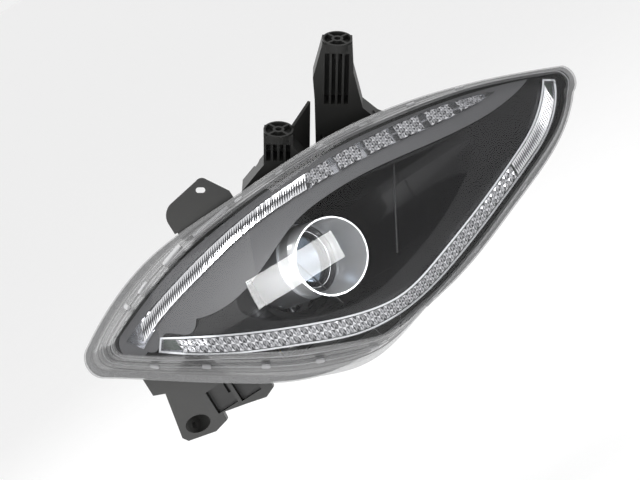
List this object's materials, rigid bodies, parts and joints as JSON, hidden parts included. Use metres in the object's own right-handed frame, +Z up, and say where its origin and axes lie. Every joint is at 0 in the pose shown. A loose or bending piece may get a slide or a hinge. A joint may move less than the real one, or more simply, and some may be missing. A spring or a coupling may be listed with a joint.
{
  "type": "car headlight assembly",
  "caption": "Swept right-hand car headlight: clear outer lens, black bezel, ribbed signal strip, light guide and projector, with aim gear, ribbed bolting brackets and a rear bulb cover.",
  "frame": {"origin": "top of the bolt hole in the tall upper bracket", "axes": "car drives towards -Y, +Z up, +X towards the middle of the car"},
  "size_m": [0.4142, 0.4705, 0.3098],
  "materials": {
    "clear_lens": "polished",
    "seal_black": "matt",
    "satin_grey": "satin",
    "bezel_black": "gloss",
    "strip_clear": "ribbed",
    "reflector": "polished",
    "guide_clear": "ribbed",
    "trim_chrome": "polished",
    "board_green": "satin",
    "chip_white": "satin",
    "housing_black": "moulded grain",
    "bracket_black": "satin",
    "screw_steel": "zinc plated",
    "frame_metal": "cast",
    "projector_glass": "polished",
    "lens_ring": "satin",
    "shroud_chrome": "polished",
    "coil_black": "satin",
    "shield_steel": "stamped",
    "bulb_clear": "polished",
    "bulb_amber": "polished",
    "bulb_holder": "satin",
    "nut_brass": "satin",
    "screw_plastic": "satin",
    "motor_grey": "satin",
    "contact_tin": "plated",
    "cap_black": "satin",
    "vent_rubber": "matt"
  },
  "bodies": {
    "housing": {"housing": "housing_black", "outer_lens": "clear_lens", "lens_seal": "seal_black", "satin_bezel": "satin_grey", "black_bezel": "bezel_black", "signal_lens": "strip_clear", "signal_reflector": "reflector", "light_guide": "guide_clear", "light_guide_reflector": "reflector", "guide_trim": "trim_chrome", "led_board": "board_green", "led_chips": "chip_white", "tall_bracket": "bracket_black", "short_bracket": "bracket_black", "side_plate": "bracket_black", "lower_bracket": "bracket_black", "bracket_screws": "screw_steel", "screw_bushes": "screw_plastic", "level_motor": "motor_grey", "main_connector": "motor_grey", "connector_pins": "contact_tin", "vent_caps": "vent_rubber"},
    "tilt_frame": {"tilt_frame": "frame_metal", "tilt_pins": "screw_steel", "aim_nut": "nut_brass"},
    "projector": {"projector_lens": "projector_glass", "lens_holder": "lens_ring", "projector_shroud": "shroud_chrome", "projector_frame": "frame_metal", "projector_bowl": "reflector", "pan_pins": "screw_steel", "shield_solenoid": "coil_black"},
    "shield": {"cutoff_shield": "shield_steel"},
    "plunger": {"shield_plunger": "screw_steel"},
    "bulb": {"bulb_adapter": "bulb_holder", "bulb_base": "bulb_holder", "bulb_glass": "bulb_clear"},
    "level_rod": {"level_rod": "screw_plastic"},
    "vertical_screw": {"vertical_screw": "screw_plastic"},
    "horizontal_screw": {"horizontal_screw": "screw_plastic"},
    "cap": {"access_cap": "cap_black", "cap_seal": "seal_black"},
    "signal_socket": {"signal_socket": "cap_black", "signal_bulb": "bulb_amber"}
  },
  "joints": [
    {"name": "tilt", "type": "hinge", "parent": "housing", "child": "tilt_frame", "pos_m": [-0.119, 0.147, -0.174], "axis": [1, 0, 0], "range_deg": [-3, 3]},
    {"name": "pan", "type": "hinge", "parent": "tilt_frame", "child": "projector", "pos_m": [-0.119, 0.147, -0.174], "axis": [0, 0, 1], "range_deg": [-2.5, 2.5]},
    {"name": "shield_fold", "type": "hinge", "parent": "projector", "child": "shield", "pos_m": [-0.119, 0.133, -0.202], "axis": [1, 0, 0], "range_deg": [0, 18], "stiffness_Nm_per_rad": 0.02, "springref_deg": -17.19},
    {"name": "plunger_slide", "type": "slide", "parent": "projector", "child": "plunger", "axis": [0, 1, 0], "range_m": [0, 0.0048]},
    {"name": "bulb_twist", "type": "hinge", "parent": "projector", "child": "bulb", "pos_m": [-0.119, 0.19, -0.174], "axis": [0, 1, 0], "range_deg": [0, 20]},
    {"name": "level_slide", "type": "slide", "parent": "housing", "child": "level_rod", "axis": [0, 1, 0], "range_m": [-0.0037, 0.0037]},
    {"name": "vertical_aim", "type": "hinge", "parent": "housing", "child": "vertical_screw", "pos_m": [-0.155, 0.232, -0.244], "axis": [0, 1, 0], "range_deg": [-330, 330]},
    {"name": "horizontal_aim", "type": "hinge", "parent": "housing", "child": "horizontal_screw", "pos_m": [-0.079, 0.232, -0.13], "axis": [0, 1, 0], "range_deg": [-158, 158]},
    {"name": "cap_twist", "type": "hinge", "parent": "housing", "child": "cap", "pos_m": [-0.119, 0.244, -0.174], "axis": [0, 1, 0], "range_deg": [0, 35]},
    {"name": "signal_twist", "type": "hinge", "parent": "housing", "child": "signal_socket", "pos_m": [-0.18261, 0.26459, -0.15605], "axis": [-0.7154, -0.6671, 0.2079], "range_deg": [0, 45]}
  ],
  "couplings": [
    {"joint": "plunger_slide", "follows": "shield_fold", "m_per_rad": 0.015},
    {"joint": "level_slide", "follows": "tilt", "m_per_rad": 0.07},
    {"joint": "vertical_aim", "follows": "tilt", "ratio": 109.96},
    {"joint": "horizontal_aim", "follows": "pan", "ratio": 62.832}
  ]
}
